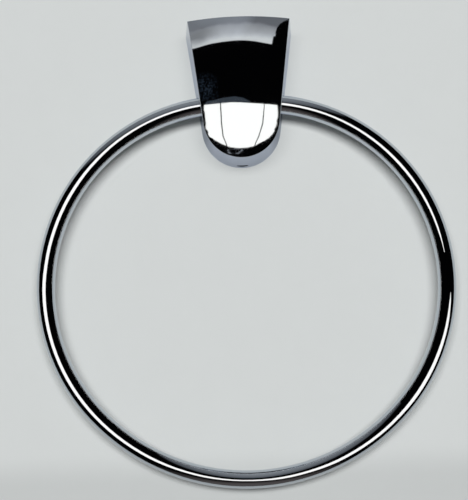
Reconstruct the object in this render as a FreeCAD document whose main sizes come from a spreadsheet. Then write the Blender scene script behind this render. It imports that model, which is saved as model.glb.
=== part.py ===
import FreeCAD, Part
import math
import os
import Sketcher

# Towel ring: a crowned, tapered post on a wall bracket, and a hoop of round rod that swings in its sides.
# The origin is on the wall, midway between the wall screws. +X is right, +Y is into the wall, +Z is up.
# Sizes are in millimetres and degrees. A height or drop is measured from the origin, a depth from the wall.

SIZES = [
    ("post_depth", 48.0, "wall to the highest point of the crowned front"),
    ("post_wall", 2.5, "wall of the cast post"),
    ("post_arch_radius", 185.0, "arched top edge of the post"),
    ("back_corner_side", 23.4, "middle to the top corner, at the wall"),
    ("back_corner_height", 26.3, "top corner, at the wall"),
    ("back_round_radius", 17.5, "round lower end, at the wall"),
    ("back_round_drop", 14.6, "centre of the round lower end, at the wall"),
    ("front_corner_side", 21.65, "middle to the top corner, at the front"),
    ("front_corner_height", 29.3, "top corner, at the front"),
    ("front_round_radius", 16.3, "round lower end, at the front"),
    ("front_round_drop", 12.8, "centre of the round lower end, at the front"),
    ("front_blank", 1.0, "stock in front of the crown"),
    ("crown_radius", 136.0, "the front's crown, part of a ball"),
    ("crown_level", 6.0, "height of the crown's highest point"),
    ("post_edge_round", 0.3, "rounded edge between the front and the sides"),
    ("rod_diameter", 8.0, "rod of the ring"),
    ("ring_side_radius", 80.0, "middle line of the rod in each side bend"),
    ("ring_side_offset", 7.3, "centre of each side bend from the middle"),
    ("ring_side_turn", 131.7, "where each side bend ends, turned from the top"),
    ("rod_past_clip", 3.6, "rod beyond its clip"),
    ("rod_end_chamfer", 0.6, "chamfer on the ends of the rod"),
    ("swing_depth", 22.0, "depth of the axis that the ring swings about"),
    ("swing_drop", 5.8, "drop of that axis"),
    ("bearing_length", 4.2, "side hole, from the outside of the post to the inner face of its boss"),
    ("bearing_play", 0.8, "rod to its side hole, all round"),
    ("hole_lift", 0.2, "middle of the side hole above the rod, which hangs low in it"),
    ("boss_wall", 2.7, "wall of the boss round each side hole"),
    ("groove_depth", 0.7, "groove in the rod for a clip"),
    ("clip_cover", 2.2, "clip beyond the edge of the side hole, all round"),
    ("clip_rim", 2.4, "width of a clip's rim"),
    ("clip_sheet", 0.9, "sheet of a clip"),
    ("clip_lug_width", 2.4, "width of each of a clip's three lugs"),
    ("clip_snap", 0.6, "how much narrower a clip's mouth is than the groove"),
    ("clip_play", 0.3, "clip to boss"),
    ("clip_fit", 0.05, "clip to its groove, on each side"),
    ("bracket_sheet", 2.0, "sheet of the wall bracket"),
    ("bracket_side_play", 1.0, "bracket's foot to the inside of the post, on each side"),
    ("bracket_bend_radius", 0.8, "inside of the bracket's bends"),
    ("bracket_corner_radius", 3.0, "corners of the bracket's foot and tongue"),
    ("foot_past_screw", 5.0, "bracket's foot beyond the axis of the set screw"),
    ("head_room", 5.5, "middle of the upper wall screw to the bracket's step"),
    ("tongue_gap", 5.0, "depth of the back of the bracket's tongue"),
    ("tongue_play", 0.1, "tongue to the roof of the post, which rests on it"),
    ("wall_hole_spacing", 20.0, "between the two wall screws"),
    ("wall_hole_diameter", 4.5, "hole for a wall screw"),
    ("rib_hook", 2.6, "how far the post's rib reaches down behind the tongue"),
    ("rib_width", 24.0, "width of that rib"),
    ("lift_play", 0.4, "spare lift when the post is hooked on"),
    ("screw_diameter", 5.0, "set screw"),
    ("screw_length", 8.0, "set screw"),
    ("screw_recess", 1.1, "end of the set screw to the outside of the post"),
    ("screw_chamfer", 0.6, "chamfer on both ends of the set screw"),
    ("screw_socket", 2.5, "across the flats of the set screw's socket"),
    ("screw_socket_depth", 3.0, "depth of the set screw's socket"),
    ("screw_depth", 8.0, "depth of the axis of the set screw"),
    ("screw_play", 0.1, "set screw to its hole, all round"),
    ("screw_boss_wall", 2.9, "wall of the boss that the set screw runs in"),
]

doc = FreeCAD.newDocument("towel_ring")
sheet = doc.addObject("Spreadsheet::Sheet", "Sizes")
for row, (name, amount, meaning) in enumerate(SIZES, start=1):
    sheet.set(f"A{row}", meaning)
    sheet.set(f"B{row}", str(amount))
    sheet.setAlias(f"B{row}", name)
doc.recompute()


class Measure:
    """A size worked out from the sheet: its value now, and the expression that keeps it up to date."""

    def __init__(self, amount, text):
        self.amount = amount
        self.text = text

    def __add__(self, other):
        other = measure(other)
        return Measure(self.amount + other.amount, f"({self.text} + {other.text})")

    def __sub__(self, other):
        other = measure(other)
        return Measure(self.amount - other.amount, f"({self.text} - {other.text})")

    def __mul__(self, other):
        other = measure(other)
        return Measure(self.amount * other.amount, f"({self.text} * {other.text})")

    def __truediv__(self, other):
        other = measure(other)
        return Measure(self.amount / other.amount, f"({self.text} / {other.text})")

    def __neg__(self):
        return Measure(-self.amount, f"(0 - {self.text})")


def measure(amount):
    return amount if isinstance(amount, Measure) else Measure(float(amount), repr(float(amount)))


def size(name):
    return Measure(float(getattr(sheet, name)), "Sizes." + name)


def root(area):
    return Measure(math.sqrt(area.amount), f"sqrt({area.text})")


def sine(angle):
    return Measure(math.sin(math.radians(angle.amount)), f"sin({angle.text} * 1 deg)")


def keep(thing, prop, amount):
    """Sets a property of an object and ties it to the sheet."""
    thing.setExpression(prop, measure(amount).text)


# The outside of the post, as far as what it holds depends on it

def lean(end):
    """How far a side moves out for each millimetre of height, to run smoothly into the round end."""
    side = size(end + "_corner_side")
    rise = size(end + "_corner_height") + size(end + "_round_drop")
    radius = size(end + "_round_radius")
    to_corner = side / rise
    to_round = radius / root(side * side + rise * rise - radius * radius)
    return (to_corner - to_round) / (measure(1.0) + to_corner * to_round)


def side_of(end, height):
    return size(end + "_corner_side") - (size(end + "_corner_height") - height) * lean(end)


def roof_of(end):
    side = size(end + "_corner_side")
    arch = size("post_arch_radius")
    return size(end + "_corner_height") + arch - root(arch * arch - side * side)


def at_depth(depth, back, front):
    """What measures so much at the wall and so much at the front, at a depth between the two."""
    return back + (front - back) * depth / (size("post_depth") + size("front_blank"))


# The swing axis runs along X through both side holes. The rod's middle line crosses it in the middle of each
# hole, and the hoop hangs from there in one upright plane, at the depth of the axis.
swing_height = -size("swing_drop")
hole_mouth_side = at_depth(
    size("swing_depth"), side_of("back", swing_height), side_of("front", swing_height))
boss_face_side = hole_mouth_side - size("bearing_length")
hole_diameter = size("rod_diameter") + size("bearing_play") * 2
clip_face_side = boss_face_side - size("clip_play")
rod_end_side = clip_face_side - size("clip_sheet") - size("rod_past_clip")
groove_diameter = size("rod_diameter") - size("groove_depth") * 2
clip_diameter = hole_diameter + size("clip_cover") * 2
rod_radius = size("rod_diameter") / 2
bearing_run = boss_face_side + size("bearing_length") / 2 - size("ring_side_offset")
side_radius = size("ring_side_radius")
side_centre_height = swing_height - root(side_radius * side_radius - bearing_run * bearing_run)
centres_apart = size("ring_side_offset") / sine(size("ring_side_turn"))
bottom_radius = side_radius + centres_apart
bottom_centre_height = side_centre_height + root(
    centres_apart * centres_apart - size("ring_side_offset") * size("ring_side_offset"))

# The post's roof rests on the bracket's tongue, its rib hooks behind the tongue, and the set screw, which
# stands on end inside the post's lower wall, presses up on the bracket's foot.
foot_drop = at_depth(
    size("screw_depth"),
    size("back_round_drop") + size("back_round_radius"),
    size("front_round_drop") + size("front_round_radius")) - size("screw_recess") - size("screw_length")
foot_reach = size("screw_depth") + size("foot_past_screw")
foot_room_radius = at_depth(
    foot_reach, size("back_round_radius"), size("front_round_radius")) - size("post_wall")
foot_below_round = foot_drop - at_depth(foot_reach, size("back_round_drop"), size("front_round_drop"))
bracket_half_width = root(
    foot_room_radius * foot_room_radius - foot_below_round * foot_below_round) - size("bracket_side_play")
inner_arch_radius = size("post_arch_radius") - size("post_wall")
tongue_flat_half = bracket_half_width - size("bracket_corner_radius")
roof_fall = inner_arch_radius - root(
    inner_arch_radius * inner_arch_radius - tongue_flat_half * tongue_flat_half)
roof_height = at_depth(size("tongue_gap"), roof_of("back"), roof_of("front")) - size("post_wall")
tongue_height = roof_height - roof_fall - size("tongue_play")
rib_height = tongue_height - size("rib_hook")
step_height = size("wall_hole_spacing") / 2 + size("head_room")

NEAR = 0.01


# Sketches

ORIGIN_POINT = (-1, 1)
UPRIGHT_AXIS = -2
START = 1
END = 2
CENTRE = 3


def origin_plane(body, role):
    return next(feature for feature in body.Origin.OriginFeatures if feature.Role == role)


def new_body(name):
    body = doc.addObject("PartDesign::Body", name)
    doc.recompute()
    return body


def new_sketch(body, name, role, offset=0.0):
    """A sketch on a plane of the body, moved along that plane's normal. XZ faces the front, YZ the right."""
    sketch = body.newObject("Sketcher::SketchObject", name)
    sketch.AttachmentSupport = (origin_plane(body, role), [""])
    sketch.MapMode = "FlatFace"
    keep(sketch, "AttachmentOffset.Base.z", offset)
    return sketch


def hold(sketch, name, kind, *places):
    """A dimension in a sketch, tied to the sheet. The last of the places is its size."""
    *places, amount = places
    amount = measure(amount)
    index = sketch.addConstraint(Sketcher.Constraint(kind, *places, amount.amount))
    sketch.renameConstraint(index, name)
    sketch.setExpression("Constraints." + name, amount.text)


def hold_point(sketch, name, geometry, end, across, up):
    hold(sketch, name + "_across", "DistanceX", *ORIGIN_POINT, geometry, end, across)
    hold(sketch, name + "_up", "DistanceY", *ORIGIN_POINT, geometry, end, up)


def flat(across, up):
    return FreeCAD.Vector(across, up, 0)


def arc(across, up, radius, first, last):
    """An arc drawn the way angles grow, from its first angle to its last, in degrees."""
    circle = Part.Circle(flat(across, up), FreeCAD.Vector(0, 0, 1), radius)
    return Part.ArcOfCircle(circle, math.radians(first), math.radians(last))


def polygon(sketch, corners):
    """A closed outline whose corners are pairs of measures."""
    corners = [(measure(across), measure(up)) for across, up in corners]
    points = [flat(across.amount, up.amount) for across, up in corners]
    for here, after in zip(points, points[1:] + points[:1]):
        sketch.addGeometry(Part.LineSegment(here, after), False)
    for side in range(len(points)):
        following = (side + 1) % len(points)
        sketch.addConstraint(Sketcher.Constraint("Coincident", side, END, following, START))
    for side, (across, up) in enumerate(corners):
        hold_point(sketch, f"corner{side}", side, START, across, up)


def disc(sketch, name, across, up, radius):
    across, up, radius = measure(across), measure(up), measure(radius)
    circle = Part.Circle(flat(across.amount, up.amount), FreeCAD.Vector(0, 0, 1), radius.amount)
    index = sketch.addGeometry(circle, False)
    hold(sketch, name + "_radius", "Radius", index, radius)
    hold_point(sketch, name, index, CENTRE, across, up)


def pad(body, name, sketch, length, midplane=False):
    feature = body.newObject("PartDesign::Pad", name)
    feature.Profile = sketch
    feature.Midplane = midplane
    keep(feature, "Length", length)
    doc.recompute()
    return feature


def cut_through(body, name, sketch):
    feature = body.newObject("PartDesign::Pocket", name)
    feature.Profile = sketch
    feature.Type = "ThroughAll"
    feature.Midplane = True
    doc.recompute()
    return feature


# Plain solids and what is done with them

ALONG_X = FreeCAD.Rotation(FreeCAD.Vector(0, 1, 0), 90)
ALONG_Z = FreeCAD.Rotation()


def place(thing, x=0.0, y=0.0, z=0.0):
    for axis, amount in (("x", x), ("y", y), ("z", z)):
        keep(thing, "Placement.Base." + axis, amount)


def cylinder(name, rotation, radius, length, x=0.0, y=0.0, z=0.0):
    """A cylinder that starts at the given point and runs along its axis."""
    thing = doc.addObject("Part::Cylinder", name)
    thing.Placement.Rotation = rotation
    keep(thing, "Radius", radius)
    keep(thing, "Height", length)
    place(thing, x, y, z)
    return thing


def box(name, length, width, height, x, y, z):
    thing = doc.addObject("Part::Box", name)
    keep(thing, "Length", length)
    keep(thing, "Width", width)
    keep(thing, "Height", height)
    place(thing, x, y, z)
    return thing


def joined(name, *things):
    result = doc.addObject("Part::MultiFuse", name)
    result.Shapes = list(things)
    return result


def cut(name, base, tool):
    result = doc.addObject("Part::Cut", name)
    result.Base = base
    result.Tool = tool
    return result


def shared(name, first, second):
    result = doc.addObject("Part::Common", name)
    result.Base = first
    result.Tool = second
    return result


def finished(thing, label):
    """Names a sub-part and returns it."""
    thing.Label = label
    return thing


# Post

def post_outline(body, name, end, plane_offset):
    """The post's outline at one end, back or front: arched top, straight sides, and a round lower end."""
    sketch = new_sketch(body, name, "XZ_Plane", plane_offset)
    side = size(end + "_corner_side")
    height = size(end + "_corner_height")
    radius = size(end + "_round_radius")
    drop = size(end + "_round_drop")
    arch = size("post_arch_radius")
    taper = math.atan(lean(end).amount)
    touch = flat(radius.amount * math.cos(taper), -drop.amount - radius.amount * math.sin(taper))
    corner = flat(side.amount, height.amount)
    spread = math.degrees(math.asin(side.amount / arch.amount))
    arch_centre = roof_of(end).amount - arch.amount
    lean_angle = math.degrees(taper)
    sketch.addGeometry(arc(0, -drop.amount, radius.amount, 180 + lean_angle, 360 - lean_angle), False)
    sketch.addGeometry(Part.LineSegment(touch, corner), False)
    sketch.addGeometry(arc(0, arch_centre, arch.amount, 90 - spread, 90 + spread), False)
    sketch.addGeometry(Part.LineSegment(flat(-corner.x, corner.y), flat(-touch.x, touch.y)), False)
    lower, right, top, left = range(4)
    sketch.addConstraint(Sketcher.Constraint("Tangent", lower, END, right, START))
    sketch.addConstraint(Sketcher.Constraint("Coincident", right, END, top, START))
    sketch.addConstraint(Sketcher.Constraint("Coincident", top, END, left, START))
    sketch.addConstraint(Sketcher.Constraint("Tangent", left, END, lower, START))
    hold(sketch, "lower_radius", "Radius", lower, radius)
    hold_point(sketch, "lower_centre", lower, CENTRE, 0.0, -drop)
    hold(sketch, "arch_radius", "Radius", top, arch)
    hold_point(sketch, "right_corner", right, END, side, height)
    hold_point(sketch, "left_corner", left, START, -side, height)
    return sketch


def post_block():
    """The post's outer form: a drafted block between its two outlines, with a crowned front."""
    body = new_body("PostBlank")
    back = post_outline(body, "BackOutline", "back", 0.0)
    front = post_outline(body, "FrontOutline", "front", size("post_depth") + size("front_blank"))
    loft = body.newObject("PartDesign::AdditiveLoft", "Draft")
    loft.Profile = back
    loft.Sections = [front]
    loft.Ruled = True
    ball = doc.addObject("Part::Sphere", "CrownBall")
    keep(ball, "Radius", size("crown_radius"))
    place(ball, y=size("crown_radius") - size("post_depth"), z=size("crown_level"))
    return shared("PostBlock", body, ball)


def face_toward(thing, direction):
    """The name of the face that lies furthest in a direction."""
    faces = thing.Shape.Faces
    best = max(range(len(faces)), key=lambda index: faces[index].CenterOfMass.dot(direction))
    return f"Face{best + 1}"


def post_shell(block):
    """The block hollowed from the wall side to an even wall."""
    doc.recompute()
    shell = doc.addObject("Part::Thickness", "PostShell")
    shell.Faces = (block, [face_toward(block, FreeCAD.Vector(0, 1, 0))])
    shell.Mode = "Skin"
    shell.Join = "Intersection"
    keep(shell, "Value", -size("post_wall"))
    doc.recompute()
    return shell


def post_details(block):
    """What the casting carries inside, trimmed to the block: two bearing bosses, a rib and a screw boss."""
    post_width = size("back_corner_side") * 2
    axis_depth = -size("swing_depth")
    boss_height = swing_height + size("hole_lift")
    boss_radius = hole_diameter / 2 + size("boss_wall")
    right_boss = cylinder(
        "RightBoss", ALONG_X, boss_radius, post_width, boss_face_side, axis_depth, boss_height)
    left_boss = cylinder(
        "LeftBoss", ALONG_X, boss_radius, post_width, -boss_face_side - post_width, axis_depth, boss_height)
    rib = box(
        "HookRib", size("rib_width"), size("tongue_gap"), size("back_corner_height"),
        -size("rib_width") / 2, -size("tongue_gap"), rib_height)
    screw_boss_top = -foot_drop - size("rib_hook") - size("lift_play")
    screw_boss = cylinder(
        "ScrewBoss", ALONG_Z, size("screw_diameter") / 2 + size("screw_play") + size("screw_boss_wall"),
        size("back_round_radius"), 0.0, -size("screw_depth"), screw_boss_top - size("back_round_radius"))
    blanks = joined("PostDetailBlanks", right_boss, left_boss, rib, screw_boss)
    return shared("PostDetails", block, blanks)


def front_edges(thing, ball):
    """The edges where the crowned front meets the sides: all their points lie on the ball."""
    middle = ball.Placement.Base
    radius = float(ball.Radius)
    found = []
    for index, edge in enumerate(thing.Shape.Edges, start=1):
        points = edge.discretize(5)
        if all(abs(point.distanceToPoint(middle) - radius) < NEAR for point in points):
            found.append(index)
    return found


def post_body():
    """Cast zinc, chromed: an open-backed shell. Its two side holes are the ring's bearings."""
    block = post_block()
    shell = post_shell(block)
    details = post_details(block)
    post_width = size("back_corner_side") * 2
    below = size("back_round_radius") * 2
    bearing = cylinder(
        "BearingHoles", ALONG_X, hole_diameter / 2, post_width,
        -post_width / 2, -size("swing_depth"), swing_height + size("hole_lift"))
    tapped = cylinder(
        "TappedHole", ALONG_Z, size("screw_diameter") / 2 + size("screw_play"), below,
        0.0, -size("screw_depth"), -foot_drop - below)
    solid = joined("CastingSolid", shell, details)
    casting = cut("Casting", solid, joined("CastingHoles", bearing, tapped))
    doc.recompute()
    rounded_front = doc.addObject("Part::Fillet", "PostBody")
    rounded_front.Base = casting
    radius = size("post_edge_round").amount
    rounded_front.Edges = [(index, radius, radius) for index in front_edges(casting, doc.CrownBall)]
    doc.recompute()
    return finished(rounded_front, "post_body")


# Ring

def height_on_side_bend(across):
    """Height of the rod's middle line at a distance from the middle, on a side bend's upper half."""
    run = across - size("ring_side_offset")
    return side_centre_height + root(side_radius * side_radius - run * run)


def half_rod_path(body):
    """The rod's middle line from the hoop's lowest point to the rod's right end: slack bend, side bend."""
    path = new_sketch(body, "RodPath", "XZ_Plane", size("swing_depth"))
    offset = size("ring_side_offset")
    join = 90 - size("ring_side_turn").amount
    last = math.degrees(math.acos((rod_end_side.amount - offset.amount) / side_radius.amount))
    path.addGeometry(arc(0, bottom_centre_height.amount, bottom_radius.amount, 270, 360 + join), False)
    path.addGeometry(arc(offset.amount, side_centre_height.amount, side_radius.amount, join, last), False)
    bottom, side = range(2)
    path.addConstraint(Sketcher.Constraint("Tangent", bottom, END, side, START))
    path.addConstraint(Sketcher.Constraint("PointOnObject", bottom, START, UPRIGHT_AXIS))
    path.addConstraint(Sketcher.Constraint("PointOnObject", bottom, CENTRE, UPRIGHT_AXIS))
    hold(path, "bottom_radius", "Radius", bottom, bottom_radius)
    hold(path, "side_radius", "Radius", side, side_radius)
    hold_point(path, "side_centre", side, CENTRE, offset, side_centre_height)
    hold(path, "end", "DistanceX", *ORIGIN_POINT, side, END, rod_end_side)
    return path


def rod():
    """Half of the rod is swept along its path, its end is chamfered, and it is mirrored at the middle."""
    body = new_body("Rod")
    path = half_rod_path(body)
    section = new_sketch(body, "RodSection", "YZ_Plane")
    disc(section, "rod", -size("swing_depth"), bottom_centre_height - bottom_radius, rod_radius)
    doc.recompute()
    sweep = body.newObject("PartDesign::AdditivePipe", "RodSweep")
    sweep.Profile = section
    sweep.Spine = (path, ["Edge1", "Edge2"])
    doc.recompute()
    chamfer = body.newObject("PartDesign::Chamfer", "RodEnd")
    upper_end = [
        f"Edge{index}" for index, edge in enumerate(sweep.Shape.Edges, start=1)
        if edge.BoundBox.ZMin > side_centre_height.amount and edge.BoundBox.XLength < rod_radius.amount]
    chamfer.Base = (sweep, upper_end)
    keep(chamfer, "Size", size("rod_end_chamfer"))
    doc.recompute()
    mirrored = body.newObject("PartDesign::Mirrored", "RodMirrored")
    mirrored.Originals = [sweep, chamfer]
    mirrored.MirrorPlane = (origin_plane(body, "YZ_Plane"), [""])
    body.Tip = mirrored
    doc.recompute()
    return body


def ring():
    """The rod with a groove near each end for its clip."""
    width = size("clip_sheet") + size("clip_fit") * 2
    inner = clip_face_side - size("clip_sheet") - size("clip_fit")
    height = height_on_side_bend(inner + width / 2)
    grooves = []
    for side, start in (("Right", inner), ("Left", -inner - width)):
        place_at = (start, -size("swing_depth"), height)
        around = cylinder(side + "GrooveOuter", ALONG_X, size("rod_diameter"), width, *place_at)
        core = cylinder(side + "GrooveCore", ALONG_X, groove_diameter / 2, width, *place_at)
        grooves.append(cut(side + "Groove", around, core))
    return finished(cut("Ring", rod(), joined("Grooves", *grooves)), "ring")


def retaining_clips():
    """Spring steel clips, pushed over the grooves: a rim with three lugs and a mouth between two of them."""
    body = new_body("Clip")
    radius = clip_diameter / 2
    rim_sketch = new_sketch(body, "RimOutline", "YZ_Plane")
    disc(rim_sketch, "outer", 0.0, 0.0, radius)
    disc(rim_sketch, "inner", 0.0, 0.0, radius - size("clip_rim"))
    pad(body, "Rim", rim_sketch, size("clip_sheet"))
    lug_sketch = new_sketch(body, "LugOutline", "YZ_Plane")
    half = size("clip_lug_width") / 2
    tip = groove_diameter / 2 + size("clip_fit")
    lug_root = radius - size("clip_rim") / 2
    polygon(lug_sketch, [(-half, tip), (half, tip), (half, lug_root), (-half, lug_root)])
    lug = pad(body, "Lug", lug_sketch, size("clip_sheet"))
    pattern = body.newObject("PartDesign::PolarPattern", "Lugs")
    pattern.Originals = [lug]
    pattern.Axis = (lug_sketch, ["N_Axis"])
    pattern.Occurrences = 3
    pattern.Angle = 360
    body.Tip = pattern
    doc.recompute()
    mouth_sketch = new_sketch(body, "MouthOutline", "YZ_Plane")
    half = (groove_diameter - size("clip_snap")) / 2
    polygon(mouth_sketch, [(-half, -clip_diameter), (half, -clip_diameter), (half, 0.0), (-half, 0.0)])
    cut_through(body, "Mouth", mouth_sketch)
    inner = clip_face_side - size("clip_sheet")
    place(body, inner, -size("swing_depth"), height_on_side_bend(inner + size("clip_sheet") / 2))
    left = doc.addObject("Part::Mirroring", "LeftClip")
    left.Source = body
    left.Normal = FreeCAD.Vector(1, 0, 0)
    pair = doc.addObject("Part::Compound", "Clips")
    pair.Links = [body, left]
    doc.recompute()
    return finished(pair, "retaining_clips")


# Wall bracket

def edges_through(feature, points, direction):
    """The names of a feature's straight edges that run in a direction and pass through any of the points."""
    names = []
    for index, edge in enumerate(feature.Shape.Edges, start=1):
        if len(edge.Vertexes) < 2 or edge.tangentAt(edge.FirstParameter).cross(direction).Length > NEAR:
            continue
        if any(edge.distToShape(Part.Vertex(point))[0] < NEAR for point in points):
            names.append(f"Edge{index}")
    return names


def rounded(body, name, points, direction, radius):
    before = body.Tip
    fillet = body.newObject("PartDesign::Fillet", name)
    fillet.Base = (before, edges_through(before, points, direction))
    keep(fillet, "Radius", radius)
    doc.recompute()
    return fillet


def wall_bracket():
    """Folded steel strip, zinc plated: a foot for the set screw, a back with two holes, and a tongue."""
    body = new_body("WallBracket")
    sheet_size = size("bracket_sheet")
    foot = -foot_drop
    reach = -foot_reach
    tongue = -size("tongue_gap")
    profile = new_sketch(body, "BracketProfile", "YZ_Plane")
    polygon(profile, [
        (0.0, foot),
        (reach, foot),
        (reach, foot + sheet_size),
        (-sheet_size, foot + sheet_size),
        (-sheet_size, step_height),
        (tongue - sheet_size, step_height),
        (tongue - sheet_size, tongue_height),
        (tongue, tongue_height),
        (tongue, step_height + sheet_size),
        (0.0, step_height + sheet_size),
    ])
    pad(body, "Strip", profile, bracket_half_width * 2, midplane=True)
    across = FreeCAD.Vector(1, 0, 0)
    inner_corners = [
        (-sheet_size, foot + sheet_size),
        (-sheet_size, step_height),
        (tongue, step_height + sheet_size),
    ]
    outer_corners = [
        (measure(0.0), foot),
        (tongue - sheet_size, step_height),
        (measure(0.0), step_height + sheet_size),
    ]
    bend = size("bracket_bend_radius")
    for name, corners, radius in (
            ("InnerBends", inner_corners, bend), ("OuterBends", outer_corners, bend + sheet_size)):
        points = [FreeCAD.Vector(0, y.amount, z.amount) for y, z in corners]
        rounded(body, name, points, across, radius)
    corner = size("bracket_corner_radius")
    sides = (-bracket_half_width.amount, bracket_half_width.amount)
    tongue_middle = tongue - sheet_size / 2
    foot_middle = foot + sheet_size / 2
    tongue_corners = [FreeCAD.Vector(x, tongue_middle.amount, tongue_height.amount) for x in sides]
    rounded(body, "TongueCorners", tongue_corners, FreeCAD.Vector(0, 1, 0), corner)
    foot_corners = [FreeCAD.Vector(x, reach.amount, foot_middle.amount) for x in sides]
    rounded(body, "FootCorners", foot_corners, FreeCAD.Vector(0, 0, 1), corner)
    holes = new_sketch(body, "WallHoles", "XZ_Plane")
    half_spacing = size("wall_hole_spacing") / 2
    for name, height in (("upper", half_spacing), ("lower", -half_spacing)):
        disc(holes, name, 0.0, height, size("wall_hole_diameter") / 2)
    cut_through(body, "WallHolePocket", holes)
    return finished(body, "wall_bracket")


# Set screw

def set_screw():
    """Steel, M5: its flat tip presses up on the bracket's foot, and its hexagon socket faces down."""
    body = new_body("SetScrew")
    outline = new_sketch(body, "ScrewOutline", "XY_Plane")
    disc(outline, "screw", 0.0, 0.0, size("screw_diameter") / 2)
    shank = pad(body, "Shank", outline, size("screw_length"))
    chamfer = body.newObject("PartDesign::Chamfer", "ScrewEnds")
    rims = [f"Edge{index}" for index, edge in enumerate(shank.Shape.Edges, start=1) if edge.isClosed()]
    chamfer.Base = (shank, rims)
    keep(chamfer, "Size", size("screw_chamfer"))
    doc.recompute()
    socket = new_sketch(body, "SocketOutline", "XY_Plane")
    flat_half = size("screw_socket") / 2
    corner = size("screw_socket") / root(measure(3.0))
    polygon(socket, [
        (corner, 0.0),
        (corner / 2, flat_half),
        (-corner / 2, flat_half),
        (-corner, 0.0),
        (-corner / 2, -flat_half),
        (corner / 2, -flat_half),
    ])
    pocket = body.newObject("PartDesign::Pocket", "Socket")
    pocket.Profile = socket
    pocket.Reversed = True
    keep(pocket, "Length", size("screw_socket_depth"))
    doc.recompute()
    place(body, 0.0, -size("screw_depth"), -foot_drop - size("screw_length"))
    doc.recompute()
    return finished(body, "set_screw")


def faults(thing, is_sub_part):
    """What is wrong with an object of the document, if anything."""
    found = [state for state in thing.State if state in ("Invalid", "Error")]
    if is_sub_part:
        if thing.Shape.isNull():
            found.append("no shape")
        elif not thing.Shape.isValid():
            found.append("bad shape")
    return found


sub_parts = [post_body(), ring(), retaining_clips(), wall_bracket(), set_screw()]
doc.recompute()
for thing in doc.Objects:
    wrong = faults(thing, thing in sub_parts)
    if wrong:
        raise RuntimeError(f"{thing.Name}: {', '.join(wrong)}")
os.makedirs("parts", exist_ok=True)
for thing in sub_parts:
    thing.Shape.exportStep(f"parts/{thing.Label}.step")
    print(f"{thing.Label}: {len(thing.Shape.Solids)} solids, {thing.Shape.Volume:.0f} cubic millimetres")
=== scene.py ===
import math

import bpy
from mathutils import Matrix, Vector

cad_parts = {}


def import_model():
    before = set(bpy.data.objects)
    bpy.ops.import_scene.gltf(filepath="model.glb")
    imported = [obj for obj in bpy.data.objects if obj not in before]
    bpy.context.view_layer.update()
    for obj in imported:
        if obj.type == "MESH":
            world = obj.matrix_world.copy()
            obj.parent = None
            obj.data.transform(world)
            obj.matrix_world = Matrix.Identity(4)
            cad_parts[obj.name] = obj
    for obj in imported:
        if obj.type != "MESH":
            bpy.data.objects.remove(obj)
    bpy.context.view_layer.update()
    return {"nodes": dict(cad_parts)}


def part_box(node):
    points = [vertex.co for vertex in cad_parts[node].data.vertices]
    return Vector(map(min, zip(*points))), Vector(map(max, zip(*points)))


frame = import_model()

# Post: a zinc casting with an open back, ground and polished, then plated with bright chrome. Its slightly
# crowned front mirrors a small upright picture of what stands before it, and its sides mirror the backdrop.

CHROME_COLOUR = (0.555, 0.595, 0.64)
POLISH_ROUGHNESS = 0.012
POLISH_ROUGHNESS_SPREAD = 0.03
HAZE_DETAIL = 4.0
POST_HAZE_SIZE = 0.012
WAVE_SIZE = 0.006
WAVE_DETAIL = 0.0
WAVE_HEIGHT = 0.000003
POST_EDGE_TINT = (0.72, 0.72, 0.73)


def fill(tree, node, inputs):
    """Sets inputs of a node, named or numbered: each gets a plain value, or a link from an output."""
    for name, value in inputs.items():
        socket = node.inputs[name]
        if isinstance(value, bpy.types.NodeSocket):
            tree.links.new(value, socket)
        elif socket.type == "RGBA":
            socket.default_value = (*value, 1.0)
        else:
            socket.default_value = value


def new_node(tree, kind, inputs, **settings):
    made = tree.nodes.new("ShaderNode" + kind)
    for name, value in settings.items():
        setattr(made, name, value)
    fill(tree, made, inputs)
    return made


def object_place(tree):
    return new_node(tree, "TexCoord", {}).outputs["Object"]


def parts_of(tree, vector):
    """The three outputs X, Y and Z of a vector."""
    return new_node(tree, "SeparateXYZ", {"Vector": vector}).outputs


def worked_out(tree, operation, *values):
    return new_node(tree, "Math", dict(enumerate(values)), operation=operation).outputs["Value"]


def ranged(tree, value, low, high, bottom=0.0, top=1.0, kind="LINEAR"):
    """Goes from bottom to top while the value goes from low to high, and stops at both."""
    limits = {"From Min": low, "From Max": high, "To Min": bottom, "To Max": top}
    return new_node(tree, "MapRange", {"Value": value, **limits}, interpolation_type=kind).outputs["Result"]


def mixed(tree, share, first, second, kind="MIX"):
    inputs = {"Fac": share, "Color1": first, "Color2": second}
    return new_node(tree, "MixRGB", inputs, blend_type=kind).outputs["Color"]


def scaled(tree, colour, level):
    return new_node(tree, "VectorMath", {0: colour, "Scale": level}, operation="SCALE").outputs["Vector"]


def noise(tree, place, size, detail, roughness=0.5):
    inputs = {"Vector": place, "Scale": 1 / size, "Detail": detail, "Roughness": roughness}
    return new_node(tree, "TexNoise", inputs).outputs["Fac"]


def bump(tree, level, height):
    return new_node(tree, "Bump", {"Height": level, "Distance": height}).outputs["Normal"]


def new_material(name):
    made = bpy.data.materials.new(name)
    made.use_nodes = True
    return made, made.node_tree, made.node_tree.nodes["Principled BSDF"]


def chrome_plate(name, haze_size, edge_tint):
    """Bright plating: faint haze from handling in its roughness, and the metal's slight waves in its bump."""
    made, tree, shader = new_material(name)
    place = object_place(tree)
    haze = noise(tree, place, haze_size, HAZE_DETAIL)
    wave = noise(tree, place, WAVE_SIZE, WAVE_DETAIL)
    fill(tree, shader, {
        "Base Color": CHROME_COLOUR,
        "Metallic": 1.0,
        "Specular Tint": edge_tint,
        "Roughness": ranged(tree, haze, 0, 1, POLISH_ROUGHNESS, POLISH_ROUGHNESS + POLISH_ROUGHNESS_SPREAD),
        "Normal": bump(tree, wave, WAVE_HEIGHT)})
    return made


def give(node, material):
    thing = frame["nodes"][node]
    thing.data.materials.clear()
    thing.data.materials.append(material)


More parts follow.
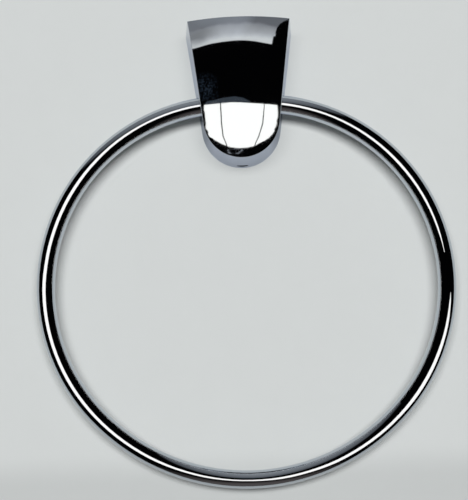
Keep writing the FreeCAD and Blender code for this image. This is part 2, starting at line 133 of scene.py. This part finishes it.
give("post_body", chrome_plate("post_plating", POST_HAZE_SIZE, POST_EDGE_TINT))


# Ring: 8 mm round rod, bent cold to an open hoop and plated like the post. Its ends run through the holes in
# the sides of the post, where it swings.

ROD_HAZE_SIZE = 0.02
ROD_EDGE_TINT = (1.0, 1.0, 1.0)

give("ring", chrome_plate("rod_plating", ROD_HAZE_SIZE, ROD_EDGE_TINT))


# Retaining clips: stamped from spring steel, hardened and blackened with oil. They snap into grooves near the
# ends of the rod, inside the post, and keep it from springing out.

CLIP_COLOUR = (0.075, 0.08, 0.088)
CLIP_ROUGHNESS = 0.32
CLIP_GRAIN_SIZE = 0.002
CLIP_GRAIN_STRETCH = (1.0, 1.0, 1.0)
CLIP_GRAIN_HEIGHT = 0.00002
GRAIN_DETAIL = 6.0
GRAIN_SHADE = 0.82
GRAIN_POLISH = 0.8
GRAIN_WEAR = 1.25


def worked_steel(name, colour, roughness, grain_size, grain_stretch, grain_height):
    """Bare or plated steel with the fine lines that rolling or turning leaves along it."""
    made, tree, shader = new_material(name)
    stretch = new_node(tree, "Mapping", {"Vector": object_place(tree), "Scale": grain_stretch})
    grain = noise(tree, stretch.outputs["Vector"], grain_size, GRAIN_DETAIL)
    fill(tree, shader, {
        "Base Color": mixed(tree, grain, [value * GRAIN_SHADE for value in colour], colour),
        "Metallic": 1.0,
        "Roughness": ranged(tree, grain, 0, 1, roughness * GRAIN_POLISH, roughness * GRAIN_WEAR),
        "Normal": bump(tree, grain, grain_height)})
    return made


give("retaining_clips", worked_steel(
    "clip_spring_steel", CLIP_COLOUR, CLIP_ROUGHNESS, CLIP_GRAIN_SIZE, CLIP_GRAIN_STRETCH, CLIP_GRAIN_HEIGHT))


# Wall bracket: 2 mm steel strip, punched, folded and zinc plated, so it is pale with a satin grain along the
# strip. Two wall screws hold it, and the post hangs on its tongue.

BRACKET_COLOUR = (0.62, 0.64, 0.67)
BRACKET_ROUGHNESS = 0.3
BRACKET_GRAIN_SIZE = 0.0016
BRACKET_GRAIN_STRETCH = (1.0, 1.0, 0.12)
BRACKET_GRAIN_HEIGHT = 0.00003

give("wall_bracket", worked_steel(
    "bracket_zinc", BRACKET_COLOUR, BRACKET_ROUGHNESS, BRACKET_GRAIN_SIZE, BRACKET_GRAIN_STRETCH,
    BRACKET_GRAIN_HEIGHT))


# Set screw: a turned M5 screw of stainless steel with a hexagon socket, run in from below until it clamps the
# foot of the bracket.

SCREW_COLOUR = (0.42, 0.43, 0.45)
SCREW_ROUGHNESS = 0.26
SCREW_GRAIN_SIZE = 0.0012
SCREW_GRAIN_STRETCH = (0.2, 0.2, 4.0)
SCREW_GRAIN_HEIGHT = 0.00003

give("set_screw", worked_steel(
    "screw_stainless", SCREW_COLOUR, SCREW_ROUGHNESS, SCREW_GRAIN_SIZE, SCREW_GRAIN_STRETCH,
    SCREW_GRAIN_HEIGHT))


# Backdrop: one pale, smooth sheet that the bracket stands on, with painted shade that makes it a little
# darker at its foot. It can be seen through from behind, and it is cut out inside the rim of the post, so
# that the inside of the part shows, and gets light, from behind. What the chrome mirrors of it close to the
# post is
# painted shade: darker and bluer, by height.

BACKDROP_COLOUR = (0.70, 0.725, 0.72)
BACKDROP_ROUGHNESS = 0.7
BACKDROP_SHINE = 0.2
BACKDROP_GAP = 0.0005
BACKDROP_REACH = 1.5
MOTTLE_STRENGTH = 0.02
MOTTLE_SIZE = 1 / 60
MOTTLE_DETAIL = 8.0
MOTTLE_ROUGHNESS = 0.7
# Painted shade: the backdrop's colour is made darker towards its foot, between these heights.
PAINTED_FOOT_SHADE_HEIGHTS = (-0.172, -0.156)
PAINTED_FOOT_SHADE = 0.87
# Painted shade seen only in reflections: close to the post, glossy rays see the backdrop in this darker,
# bluer colour, set by height.
MIRRORED_PAINTED_SHADE_COLOUR = (0.468, 0.513, 0.578)
MIRRORED_PAINTED_SHADE_REACH = (1.15, 1.6)
MIRRORED_PAINTED_SHADE_HEIGHTS = (-0.035, 0.005)
MIRRORED_PAINTED_SHADE_LEVELS = ((0.0, 1.14), (0.2, 1.12), (0.38, 0.68), (0.70, 0.64), (0.92, 1.0))
CUTOUT_INSET = 0.8
CUTOUT_CORNERS = 48

post_low, post_high = (Vector(corner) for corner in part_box("post_body"))


def flat_piece(name, y, points, faces, material):
    """A flat sheet parallel to the backdrop, from pairs (x, z)."""
    mesh = bpy.data.meshes.new(name)
    mesh.from_pydata([(x, y, z) for x, z in points], [], faces)
    mesh.materials.append(material)
    made = bpy.data.objects.new(name, mesh)
    bpy.context.scene.collection.objects.link(made)
    return made


def ramp(tree, value, stops):
    """A colour that runs through the stops, which are pairs of a position and a colour."""
    made = new_node(tree, "ValToRGB", {"Fac": value})
    marks = made.color_ramp.elements
    for mark, (position, colour) in zip((marks[0], marks[1]), (stops[0], stops[-1])):
        mark.position = position
        mark.color = (*colour, 1.0)
    for position, colour in stops[1:-1]:
        marks.new(position).color = (*colour, 1.0)
    return made.outputs["Color"]


def near_post_painted_shade(tree, place):
    """Mask of the painted shade that the chrome mirrors: 1 close to the post's outline and 0 away from it,
    measured in half sizes of the post.
    """
    height = post_high.z - post_low.z
    from_post = new_node(tree, "Mapping", {
        "Vector": place,
        "Scale": (1 / post_high.x, 0, 2 / height),
        "Location": (0, 0, -(post_high.z + post_low.z) / height)})
    away = new_node(tree, "VectorMath", {0: from_post.outputs["Vector"]}, operation="LENGTH")
    return ranged(tree, away.outputs["Value"], MIRRORED_PAINTED_SHADE_REACH[1], MIRRORED_PAINTED_SHADE_REACH[0])


def backdrop_paint():
    made, tree, shader = new_material("backdrop_paint")
    place = object_place(tree)
    up = parts_of(tree, place)["Z"]
    mottle = noise(tree, place, MOTTLE_SIZE, MOTTLE_DETAIL, MOTTLE_ROUGHNESS)
    tone = ranged(tree, mottle, 0, 1, 1 - MOTTLE_STRENGTH, 1 + MOTTLE_STRENGTH)
    # Painted shade at the foot of the backdrop.
    foot = ranged(tree, up, *PAINTED_FOOT_SHADE_HEIGHTS, PAINTED_FOOT_SHADE, 1, "SMOOTHSTEP")
    plain = scaled(tree, BACKDROP_COLOUR, worked_out(tree, "MULTIPLY", tone, foot))
    ray = new_node(tree, "LightPath", {})
    # Painted shade for glossy rays close to the post, darker and bluer by height.
    share = worked_out(tree, "MULTIPLY", ray.outputs["Is Glossy Ray"], near_post_painted_shade(tree, place))
    levels = [(position, [level * value for value in MIRRORED_PAINTED_SHADE_COLOUR]) for position, level in MIRRORED_PAINTED_SHADE_LEVELS]
    mirrored = ramp(tree, ranged(tree, up, *MIRRORED_PAINTED_SHADE_HEIGHTS), levels)
    fill(tree, shader, {
        "Base Color": mixed(tree, share, plain, mirrored),
        "Roughness": BACKDROP_ROUGHNESS,
        "Specular IOR Level": BACKDROP_SHINE})
    side = new_node(tree, "NewGeometry", {})
    clear = new_node(tree, "BsdfTransparent", {})
    both = new_node(tree, "MixShader", {
        "Fac": side.outputs["Backfacing"],
        1: shader.outputs["BSDF"],
        2: clear.outputs["BSDF"]})
    fill(tree, tree.nodes["Material Output"], {"Surface": both.outputs["Shader"]})
    return made


def backdrop():
    half_width = (post_high.x - post_low.x) / 2
    half_height = (post_high.z - post_low.z) / 2
    middle = (post_low.z + post_high.z) / 2
    inner, outer, faces = [], [], []
    for corner in range(CUTOUT_CORNERS):
        turn = 2 * math.pi * corner / CUTOUT_CORNERS
        across, up = math.sin(turn), math.cos(turn)
        inner.append((CUTOUT_INSET * half_width * across, middle + CUTOUT_INSET * half_height * up))
        outer.append((BACKDROP_REACH * across, BACKDROP_REACH * up))
        after = (corner + 1) % CUTOUT_CORNERS
        faces.append((corner, after, CUTOUT_CORNERS + after, CUTOUT_CORNERS + corner))
    made = flat_piece("backdrop", BACKDROP_GAP, inner + outer, faces, backdrop_paint())
    made.visible_shadow = False


backdrop()


# Camera: straight in front of the backdrop, level with the middle of the hoop, and rolled a little, so that
# the towel ring leans to the left in the picture.

CAMERA_DISTANCE = 1.0
CAMERA_SIDE = -0.0042
CAMERA_HEIGHT = -0.0748
CAMERA_ROLL = math.radians(1.784)
PICTURE_WIDTH = 468
PICTURE_HEIGHT = 500
BACKDROP_HEIGHT_IN_PICTURE = 0.2224
AIM_ACROSS = 236.1
AIM_DOWN = 264.2

camera_data = bpy.data.cameras.new("camera")
camera_data.lens = camera_data.sensor_width * CAMERA_DISTANCE / BACKDROP_HEIGHT_IN_PICTURE
camera_data.shift_x = (PICTURE_WIDTH / 2 - AIM_ACROSS) / PICTURE_HEIGHT
camera_data.shift_y = (AIM_DOWN - PICTURE_HEIGHT / 2) / PICTURE_HEIGHT
camera = bpy.data.objects.new("camera", camera_data)
camera.location = (CAMERA_SIDE, -CAMERA_DISTANCE, CAMERA_HEIGHT)
camera.rotation_euler = (math.radians(90), CAMERA_ROLL, 0)
bpy.context.scene.collection.objects.link(camera)
bpy.context.scene.camera = camera


# Lamps: a soft one in front, a little above the camera, and one behind for the open back. The chrome doesn't
# mirror them. The front one drops a narrow soft shadow of the rod on the backdrop. It is in two parts at one
# place, and the post shades only one of them, so the post's own shadow stays faint.

FRONT_LAMP_POWER = 56.0
FRONT_LAMP_WIDTH = 0.95
FRONT_LAMP_HEIGHT = 0.34
FRONT_LAMP_PLACE = (0.0, -2.6, 0.21)
POST_SHADOW_SHARE = 0.4
BACK_LAMP_POWER = 6.0
BACK_LAMP_SIZE = 0.4
BACK_LAMP_PLACE = (0.5, 0.8, 0.4)
LAMP_TARGET = Vector((0, 0, CAMERA_HEIGHT))


def lamp(name, place, width, height, power):
    data = bpy.data.lights.new(name, "AREA")
    data.shape = "ELLIPSE"
    data.size = width
    data.size_y = height
    data.energy = power
    made = bpy.data.objects.new(name, data)
    made.location = place
    made.rotation_euler = (LAMP_TARGET - made.location).to_track_quat("-Z", "Y").to_euler()
    made.visible_glossy = False
    bpy.context.scene.collection.objects.link(made)
    return made


def front_lamp(name, share):
    return lamp(name, FRONT_LAMP_PLACE, FRONT_LAMP_WIDTH, FRONT_LAMP_HEIGHT, FRONT_LAMP_POWER * share)


front_lamp("front_lamp", POST_SHADOW_SHARE)
past_post = front_lamp("front_lamp_past_post", 1 - POST_SHADOW_SHARE)
shadow_pieces = bpy.data.collections.new("shadow_pieces")
for node, thing in frame["nodes"].items():
    if node != "post_body":
        shadow_pieces.objects.link(thing)
past_post.light_linking.blocker_collection = shadow_pieces
lamp("back_lamp", BACK_LAMP_PLACE, BACK_LAMP_SIZE, BACK_LAMP_SIZE, BACK_LAMP_POWER)


# Light cards: chrome shows little but what it mirrors, so each bright form on it is the mirror image of a
# card. They glow, cast no light or shadow on anything else, and each one is for the piece it is named after.
# Three panes with thin gaps, a pale band above, and small dull forms between and below them face the post.

CARD_DISTANCE = 0.9
PANE_GLOW = (1.79, 1.70, 1.57)
PANE_OUTLINES = {
    "left_pane": [
        (-0.224, -0.109), (-0.177, -0.1065), (-0.126, -0.1015), (-0.126, -0.107), (-0.127, -0.228),
        (-0.122, -0.315), (-0.101, -0.382), (-0.129, -0.3695), (-0.157, -0.348), (-0.177, -0.3285),
        (-0.193, -0.309), (-0.208, -0.268), (-0.2215, -0.213), (-0.2235, -0.153)],
    "middle_pane": [
        (-0.119, -0.101), (-0.058, -0.0985), (-0.002, -0.0995), (0.059, -0.106), (0.144, -0.114),
        (0.146, -0.122), (0.134, -0.236), (0.110, -0.323), (0.081, -0.391), (0.041, -0.4005),
        (-0.0115, -0.4035), (-0.057, -0.397), (-0.093, -0.387), (-0.115, -0.315), (-0.120, -0.228),
        (-0.119, -0.107)],
    "right_pane": [
        (0.150, -0.1155), (0.191, -0.1195), (0.2275, -0.1255), (0.2235, -0.175), (0.2225, -0.2325),
        (0.2085, -0.275), (0.2005, -0.296), (0.185, -0.322), (0.171, -0.339), (0.151, -0.354),
        (0.089, -0.388), (0.117, -0.323), (0.141, -0.237), (0.151, -0.122)]}
BAND_OUTLINE = [
    (-0.345, 0.241), (-0.295, 0.252), (-0.267, 0.258), (-0.214, 0.269), (-0.161, 0.278), (-0.104, 0.284),
    (-0.047, 0.288), (0.010, 0.289), (0.060, 0.286), (0.104, 0.281), (0.154, 0.272), (0.212, 0.2625),
    (0.219, 0.292), (0.226, 0.315), (0.240, 0.3195), (0.2445, 0.350), (0.254, 0.376), (0.2786, 0.4085),
    (0.304, 0.4255), (0.333, 0.4385), (0.40, 0.9), (-0.345, 0.9)]
BAND_FOOT = 0.284
BAND_RISE = 0.17
BAND_BOW = 0.43
BAND_SWAY = 0.03
BAND_SWAY_SIZE = 1 / 14
BAND_SWAY_DETAIL = 3.0
BAND_STOPS = (
    (0.10, (0.98, 0.97, 0.93)), (0.16, (0.96, 0.955, 0.92)), (0.24, (0.81, 0.81, 0.80)),
    (0.365, (0.63, 0.63, 0.63)), (0.45, (0.56, 0.56, 0.56)), (0.62, (0.455, 0.455, 0.455)),
    (0.71, (0.38, 0.38, 0.39)), (0.80, (0.215, 0.215, 0.225)), (0.86, (0.205, 0.21, 0.22)))
BAND_LEFT_STOPS = ((0.0, 1.0), (0.2, 0.72), (0.42, 0.56), (0.60, 0.70), (0.74, 0.95), (0.82, 1.3))
BAND_LEFT_START = -0.12
BAND_LEFT_END = -0.27
DIM_OUTLINE = [
    (-0.222, -0.101), (-0.205, -0.088), (-0.170, -0.083), (-0.112, -0.070), (-0.032, -0.062),
    (0.020, -0.073), (0.052, -0.092), (0.065, -0.104), (-0.222, -0.106)]
DIM_COLOUR = (0.055, 0.066, 0.079)
SPECKLE_OUTLINE = [(-0.31, 0.12), (-0.14, 0.10), (-0.13, -0.098), (-0.26, -0.098)]
SPECKLE_MIDDLE = (-0.22, -CARD_DISTANCE, -0.01)
SPECKLE_FULL = 0.02
SPECKLE_REACH = 0.11
SPECKLE_SIZE = 0.008
SPECKLE_DETAIL = 1.0
SPECKLE_LEVELS = (0.47, 0.62)
SPECKLE_COLOUR = (0.026, 0.037, 0.052)
LOOP_MIDDLE = (-0.046, -0.4185)
LOOP_HALF_WIDTH = 0.050
LOOP_HALF_HEIGHT = 0.014
LOOP_STEPS = 40
LOOP_RIMS = ((0.80, 0.10, 3, 0), (0.98, 0.14, 5, 1))
LOOP_COLOUR = (0.28, 0.285, 0.30)
SIDE_CARD_AWAY = 1.2
SIDE_CARD_FROM = 0.02
SIDE_CARD_TO = 1.1
SIDE_CARD_HALF_HEIGHT = 0.9
SIDE_CARD_LOW_COLOUR = (0.10, 0.105, 0.11)
SIDE_CARD_HIGH_COLOUR = (0.85, 0.88, 0.90)


def glow(name, shade):
    """A card's material: it glows and lets everything pass. shade makes its colour, or is one."""
    made, tree, shader = new_material(name)
    tree.nodes.remove(shader)
    light = new_node(tree, "Emission", {"Color": shade(tree) if callable(shade) else shade})
    clear = new_node(tree, "BsdfTransparent", {})
    both = new_node(tree, "AddShader", {0: light.outputs["Emission"], 1: clear.outputs["BSDF"]})
    fill(tree, tree.nodes["Material Output"], {"Surface": both.outputs["Shader"]})
    return made


def card_for(node, card):
    """Only the named node mirrors this card, and nothing else sees it or is lit by it."""
    card.visible_camera = False
    card.visible_diffuse = False
    card.visible_shadow = False
    card.visible_transmission = False
    only = bpy.data.collections.new(card.name + "_receiver")
    only.objects.link(frame["nodes"][node])
    card.light_linking.receiver_collection = only


def band_shade(tree):
    """Bright along its bowed lower edge, greyer above and to the left, with faint soft mottling."""
    place = object_place(tree)
    across, _, up = parts_of(tree, place)
    cloud = noise(tree, place, BAND_SWAY_SIZE, BAND_SWAY_DETAIL)
    height = worked_out(tree, "MULTIPLY_ADD", worked_out(tree, "MULTIPLY", across, across), BAND_BOW, up)
    height = worked_out(tree, "MULTIPLY_ADD", cloud, BAND_SWAY, height)
    foot = BAND_FOOT + BAND_SWAY / 2
    level = ranged(tree, height, foot, foot + BAND_RISE)
    left = ranged(tree, across, BAND_LEFT_START, BAND_LEFT_END, kind="SMOOTHSTEP")
    left_stops = [(position, [value] * 3) for position, value in BAND_LEFT_STOPS]
    return mixed(tree, left, ramp(tree, level, BAND_STOPS), ramp(tree, level, left_stops), "MULTIPLY")


def speckle_shade(tree):
    """Faint bluish grains that die away from the middle of their patch."""
    place = object_place(tree)
    grain = ranged(tree, noise(tree, place, SPECKLE_SIZE, SPECKLE_DETAIL), *SPECKLE_LEVELS)
    away = new_node(tree, "VectorMath", {0: place, 1: SPECKLE_MIDDLE}, operation="DISTANCE")
    fade = ranged(tree, away.outputs["Value"], SPECKLE_REACH, SPECKLE_FULL)
    return scaled(tree, SPECKLE_COLOUR, worked_out(tree, "MULTIPLY", grain, fade))


def side_shade(tree):
    """Dull light that gets paler upward."""
    up = parts_of(tree, object_place(tree))["Z"]
    share = ranged(tree, up, -SIDE_CARD_HALF_HEIGHT, SIDE_CARD_HALF_HEIGHT)
    return mixed(tree, share, SIDE_CARD_LOW_COLOUR, SIDE_CARD_HIGH_COLOUR)


def post_card(name, points, material):
    card_for("post_body", flat_piece(name, -CARD_DISTANCE, points, [list(range(len(points)))], material))


def loop_card():
    """A thin, uneven loop of dull light. Each rim's share of the loop's size sways as a sine round it."""
    points, faces = [], []
    for step in range(LOOP_STEPS):
        turn = 2 * math.pi * step / LOOP_STEPS
        for size, sway, waves, shift in LOOP_RIMS:
            share = size + sway * math.sin(waves * turn + shift)
            points.append((LOOP_MIDDLE[0] + share * LOOP_HALF_WIDTH * math.cos(turn),
                           LOOP_MIDDLE[1] + share * LOOP_HALF_HEIGHT * math.sin(turn)))
        after = (step + 1) % LOOP_STEPS
        faces.append((2 * step, 2 * step + 1, 2 * after + 1, 2 * after))
    card = flat_piece("loop_card", -CARD_DISTANCE, points, faces, glow("loop_glow", LOOP_COLOUR))
    card_for("post_body", card)


def side_card(name, side):
    """A dull card square to the backdrop, that the side wall of the post mirrors in a side view."""
    near, far = -side * SIDE_CARD_FROM, -side * SIDE_CARD_TO
    high = SIDE_CARD_HALF_HEIGHT
    points = [(near, -high), (far, -high), (far, high), (near, high)]
    card = flat_piece(name, SIDE_CARD_AWAY, points, [[0, 1, 2, 3]], glow(name + "_glow", side_shade))
    card.rotation_euler.z = side * math.pi / 2
    card_for("post_body", card)


side_card("left_side_card", 1)
side_card("right_side_card", -1)
pane_glow = glow("pane_glow", PANE_GLOW)
for pane, outline in PANE_OUTLINES.items():
    post_card(pane, outline, pane_glow)
post_card("band", BAND_OUTLINE, glow("band_glow", band_shade))
post_card("dim_strip", DIM_OUTLINE, glow("dim_glow", DIM_COLOUR))
post_card("speckle", SPECKLE_OUTLINE, glow("speckle_glow", speckle_shade))
loop_card()


# Ring card: a low, open band above the rod itself, a little outside it, with a gap on the right. So the rod
# mirrors it as one thin line, almost all the way round. Its rows are degrees, then its inner and outer reach
# from the rod's centre line in millimetres.

RING_CARD_DEPTH = 0.055
RING_CARD_GLOW = (1.78, 1.66, 1.55)
RING_CARD_STEPS = 240
RING_CARD_MILLIMETRES = [
    (-2.5, 24, 27), (-6, 17, 36), (-12, 13.5, 48), (-22, 9.5, 50), (-32, 8.2, 50), (-47, 8.0, 36),
    (-62, 5.8, 28), (-77, 1.6, 15.8), (-92, 0.4, 8.0), (-107, -0.2, 11.6), (-122, 0.2, 17.5),
    (-137, 0.2, 20.7), (-152, 0, 23.0), (-172, 0.5, 24), (-182, 0, 25), (-192, -3.4, 17.5),
    (-203, -4.6, 15.5), (-213, -4.2, 16.5), (-223, -1.6, 16.6), (-233, 2.0, 17.5), (-243, 3.6, 16.2),
    (-255, 3.8, 16.6), (-289, -3.4, 10), (-296, -2.2, 9.4), (-302, -3.2, 9.8), (-311, -5, 9.7),
    (-321, -7.5, 9.5), (-331, -5.4, 9.0), (-341, -3.6, 7.6), (-350, 1, 4)]

ring_low, ring_high = (Vector(corner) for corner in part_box("ring"))


def card_limits(degrees):
    """How far inside and outside the rod's centre line the card reaches at an angle, in metres."""
    for (start, *first), (end, *second) in zip(RING_CARD_MILLIMETRES, RING_CARD_MILLIMETRES[1:]):
        if end <= degrees <= start:
            share = (start - degrees) / (start - end)
            share = share * share * (3 - 2 * share)
            return [0.001 * (low + (high - low) * share) for low, high in zip(first, second)]


def ring_card():
    rod = (ring_high.y - ring_low.y) / 2
    across = (ring_high.x - ring_low.x) / 2 - rod
    up = (ring_high.z - ring_low.z) / 2 - rod
    middle = (ring_high.z + ring_low.z) / 2
    first, last = RING_CARD_MILLIMETRES[0][0], RING_CARD_MILLIMETRES[-1][0]
    points, faces = [], []
    for step in range(RING_CARD_STEPS + 1):
        degrees = first + (last - first) * step / RING_CARD_STEPS
        turn = math.radians(degrees)
        for offset in card_limits(degrees):
            points.append(((across + offset) * math.cos(turn), middle + (up + offset) * math.sin(turn)))
    for step in range(RING_CARD_STEPS):
        faces.append((2 * step, 2 * step + 1, 2 * step + 3, 2 * step + 2))
    card = flat_piece("ring_card", -RING_CARD_DEPTH, points, faces, glow("ring_glow", RING_CARD_GLOW))
    card_for("ring", card)


ring_card()


# World: even, pale light on everything. What the chrome mirrors of it is black ahead and at the sides, grey
# above, brownish dark straight below, and pale behind.

WORLD_PALE = (0.64, 0.655, 0.655)
WORLD_LIGHT = 0.16
ABOVE_LEFT_SLOPE = 0.45
ABOVE_RIGHT_SLOPE = -1.2
ABOVE_STOPS = (
    (0.28, (0.001, 0.001, 0.0012)), (0.36, (0.11, 0.115, 0.125)), (0.6, (0.225, 0.235, 0.25)),
    (1.0, (0.36, 0.37, 0.385)))
BELOW_START = -0.42
BELOW_FULL = -0.77
BELOW_COLOUR = (0.115, 0.098, 0.093)
BEHIND_FULL = 0.2


def world():
    made = bpy.data.worlds.new("world")
    bpy.context.scene.world = made
    made.use_nodes = True
    tree = made.node_tree
    ray = new_node(tree, "LightPath", {})
    direction = new_node(tree, "TexCoord", {}).outputs["Generated"]
    across, ahead, up = parts_of(tree, direction)
    left = worked_out(tree, "MULTIPLY_ADD", across, ABOVE_LEFT_SLOPE, up)
    right = worked_out(tree, "MULTIPLY_ADD", across, ABOVE_RIGHT_SLOPE, up)
    above = ramp(tree, worked_out(tree, "MINIMUM", left, right), ABOVE_STOPS)
    downward = worked_out(tree, "ADD", up, worked_out(tree, "ABSOLUTE", across))
    below = ranged(tree, downward, BELOW_START, BELOW_FULL)
    behind = ranged(tree, ahead, 0, BEHIND_FULL)
    around = mixed(tree, behind, mixed(tree, below, above, BELOW_COLOUR), WORLD_PALE)

    even = new_node(tree, "Background", {"Color": WORLD_PALE, "Strength": WORLD_LIGHT})
    mirrored = new_node(tree, "Background", {"Color": around})
    seen = new_node(tree, "Background", {"Color": WORLD_PALE})
    for_gloss = new_node(tree, "MixShader", {
        "Fac": ray.outputs["Is Glossy Ray"],
        1: even.outputs["Background"],
        2: mirrored.outputs["Background"]})
    for_camera = new_node(tree, "MixShader", {
        "Fac": ray.outputs["Is Camera Ray"],
        1: for_gloss.outputs["Shader"],
        2: seen.outputs["Background"]})
    fill(tree, tree.nodes["World Output"], {"Surface": for_camera.outputs["Shader"]})


world()

bpy.context.scene.view_settings.view_transform = "Standard"
